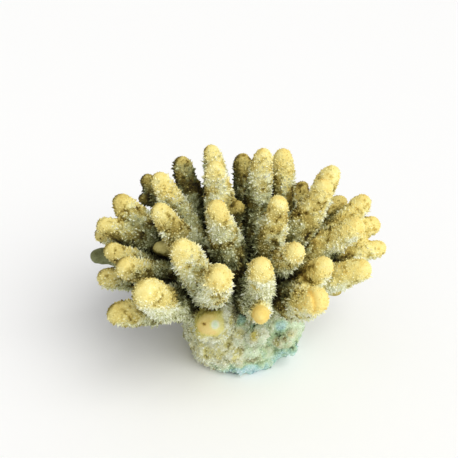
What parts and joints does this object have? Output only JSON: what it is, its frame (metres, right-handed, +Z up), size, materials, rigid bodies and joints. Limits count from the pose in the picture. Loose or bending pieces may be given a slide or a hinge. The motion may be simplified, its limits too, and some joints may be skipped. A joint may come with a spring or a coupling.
{
  "type": "finger coral",
  "caption": "Stony finger coral colony: a lumpy holdfast cut off flat underneath, with blunt, spiky-sided fingers that fan out all round and upwards.",
  "frame": {"origin": "in the flat cut under the holdfast, under the holdfast's middle", "axes": "+Z up, along the colony's growth; -Y towards the colony's front, +X to the right of someone who faces the front"},
  "size_m": [0.1876, 0.1668, 0.1303],
  "materials": {
    "holdfast_stone": "matte, rough, porous, bleached green-blue and pale yellow",
    "finger_stone": "matte, rough with small leaning cups, pale yellow with smoother yellow tips"
  },
  "bodies": {
    "root": {"holdfast": "holdfast_stone", "crown_bough": "finger_stone", "rear_crown_bough": "finger_stone", "centre_bough": "finger_stone", "centre_right_bough": "finger_stone", "upper_left_bough": "finger_stone", "rear_left_crown_bough": "finger_stone", "left_bough": "finger_stone", "left_centre_bough": "finger_stone", "low_left_bough": "finger_stone", "front_left_bough": "finger_stone", "front_bough": "finger_stone", "front_centre_bough": "finger_stone", "front_right_bough": "finger_stone", "upper_right_bough": "finger_stone", "right_bough": "finger_stone", "low_right_bough": "finger_stone", "rear_right_crown_bough": "finger_stone", "rear_low_left_bough": "finger_stone", "rear_left_bough": "finger_stone", "rear_bough": "finger_stone", "rear_right_bough": "finger_stone"}
  },
  "joints": []
}
